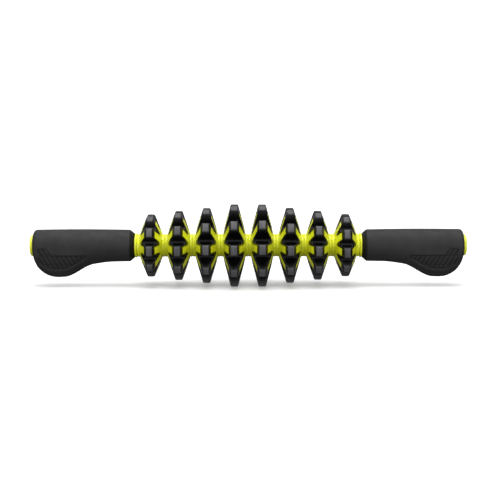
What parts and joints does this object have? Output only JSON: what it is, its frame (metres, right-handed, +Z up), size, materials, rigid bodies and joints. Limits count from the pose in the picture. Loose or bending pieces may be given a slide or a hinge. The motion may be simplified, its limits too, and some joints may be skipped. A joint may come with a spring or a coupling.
{
  "type": "massage roller stick",
  "caption": "Hand-held massage roller: lugged rubber-tyred wheels spin freely on a steel shaft between two rubber-gripped handles with palm swells.",
  "frame": {"origin": "middle of the shaft, on its axis", "axes": "+X along the shaft, +Z up with the handles' palm swells hanging towards -Z, -Y the front"},
  "size_m": [0.452, 0.085, 0.0844],
  "materials": {
    "lime_plastic": "moulded, satin",
    "tread_rubber": "moulded, semi-gloss",
    "grip_rubber": "moulded, matte",
    "steel": "ground",
    "nylon": "matte"
  },
  "bodies": {
    "stick": {"shaft": "steel", "thrust_washer_left": "nylon", "thrust_washer_right": "nylon", "handle_core_left": "lime_plastic", "handle_core_right": "lime_plastic", "grip_left": "grip_rubber", "grip_right": "grip_rubber", "screw_washer_left": "steel", "screw_washer_right": "steel", "end_screw_left": "steel", "end_screw_right": "steel", "end_cap_left": "lime_plastic", "end_cap_right": "lime_plastic"},
    "wheel_1": {"wheel_core_1": "lime_plastic", "wheel_tread_1": "tread_rubber"},
    "wheel_2": {"wheel_core_2": "lime_plastic", "wheel_tread_2": "tread_rubber"},
    "wheel_3": {"wheel_core_3": "lime_plastic", "wheel_tread_3": "tread_rubber"},
    "wheel_4": {"wheel_core_4": "lime_plastic", "wheel_tread_4": "tread_rubber"},
    "wheel_5": {"wheel_core_5": "lime_plastic", "wheel_tread_5": "tread_rubber"},
    "wheel_6": {"wheel_core_6": "lime_plastic", "wheel_tread_6": "tread_rubber"},
    "wheel_7": {"wheel_core_7": "lime_plastic", "wheel_tread_7": "tread_rubber"},
    "wheel_8": {"wheel_core_8": "lime_plastic", "wheel_tread_8": "tread_rubber"}
  },
  "joints": [
    {"name": "wheel_1_spin", "type": "hinge", "parent": "stick", "child": "wheel_1", "pos_m": [-0.1008, 0, 0], "axis": [1, 0, 0], "continuous": true},
    {"name": "wheel_2_spin", "type": "hinge", "parent": "stick", "child": "wheel_2", "pos_m": [-0.072, 0, 0], "axis": [1, 0, 0], "continuous": true},
    {"name": "wheel_3_spin", "type": "hinge", "parent": "stick", "child": "wheel_3", "pos_m": [-0.0432, 0, 0], "axis": [1, 0, 0], "continuous": true},
    {"name": "wheel_4_spin", "type": "hinge", "parent": "stick", "child": "wheel_4", "pos_m": [-0.0144, 0, 0], "axis": [1, 0, 0], "continuous": true},
    {"name": "wheel_5_spin", "type": "hinge", "parent": "stick", "child": "wheel_5", "pos_m": [0.0144, 0, 0], "axis": [1, 0, 0], "continuous": true},
    {"name": "wheel_6_spin", "type": "hinge", "parent": "stick", "child": "wheel_6", "pos_m": [0.0432, 0, 0], "axis": [1, 0, 0], "continuous": true},
    {"name": "wheel_7_spin", "type": "hinge", "parent": "stick", "child": "wheel_7", "pos_m": [0.072, 0, 0], "axis": [1, 0, 0], "continuous": true},
    {"name": "wheel_8_spin", "type": "hinge", "parent": "stick", "child": "wheel_8", "pos_m": [0.1008, 0, 0], "axis": [1, 0, 0], "continuous": true}
  ]
}
